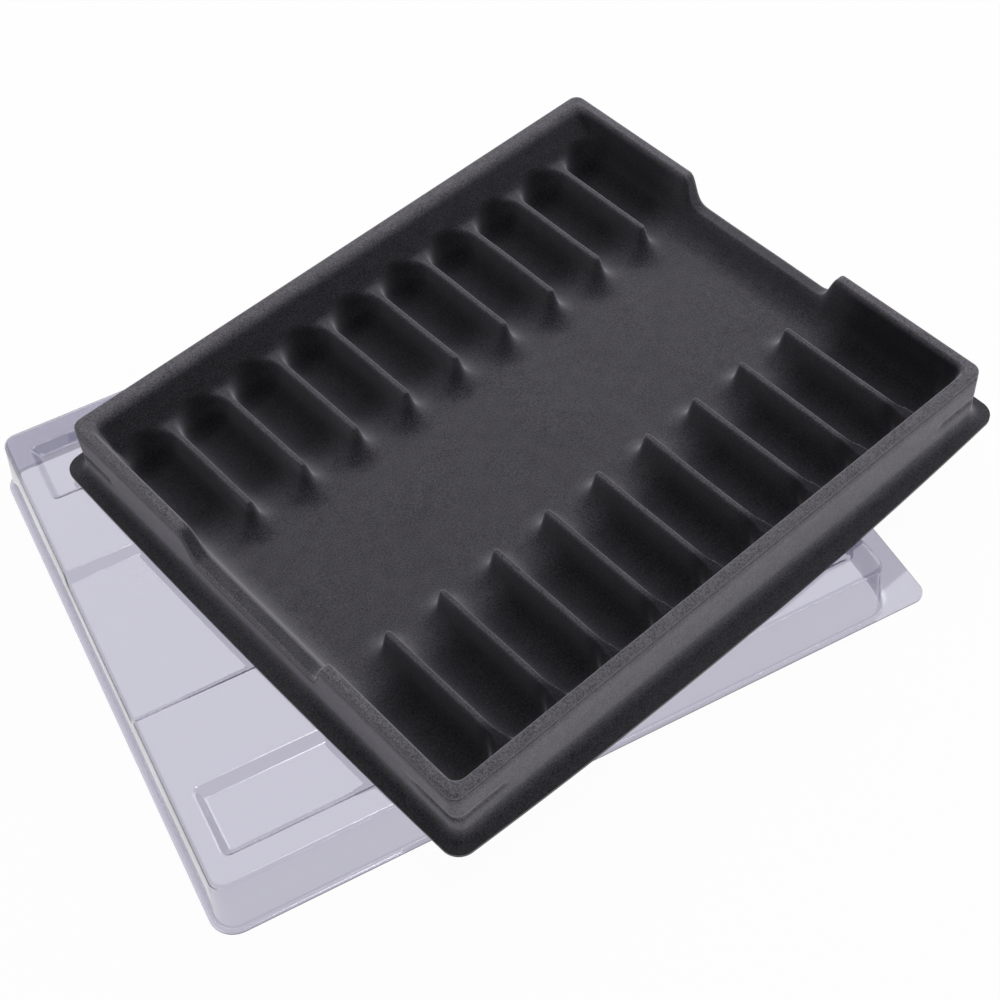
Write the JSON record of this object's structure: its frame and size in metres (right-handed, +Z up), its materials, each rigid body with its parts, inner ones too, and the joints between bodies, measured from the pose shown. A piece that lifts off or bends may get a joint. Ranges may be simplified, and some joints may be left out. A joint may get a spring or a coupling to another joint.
{
  "type": "pen display case",
  "caption": "Flocked pen tray with facing banks of slots, a cross trough and finger notches, standing on its clear push-on lid.",
  "frame": {"origin": "middle of the footprint of the tray and lid as they lie, on the table plane", "axes": "+X along the tray's long side, +Y along its slots towards the far bank, +Z up; the lid is turned 14.4 degrees clockwise from above"},
  "size_m": [0.2492, 0.2116, 0.0384],
  "materials": {
    "black_flock": "short black flock on a vacuum formed plastic sheet",
    "clear_sheet": "clear vacuum formed plastic sheet, glossy, faintly violet"
  },
  "bodies": {
    "lid": {"clear_lid": "clear_sheet"},
    "tray": {"flocked_tray": "black_flock"}
  },
  "joints": [
    {"name": "tray_lift", "type": "slide", "parent": "lid", "child": "tray", "axis": [0, 0, 1], "range_m": [0, 0.06]}
  ]
}
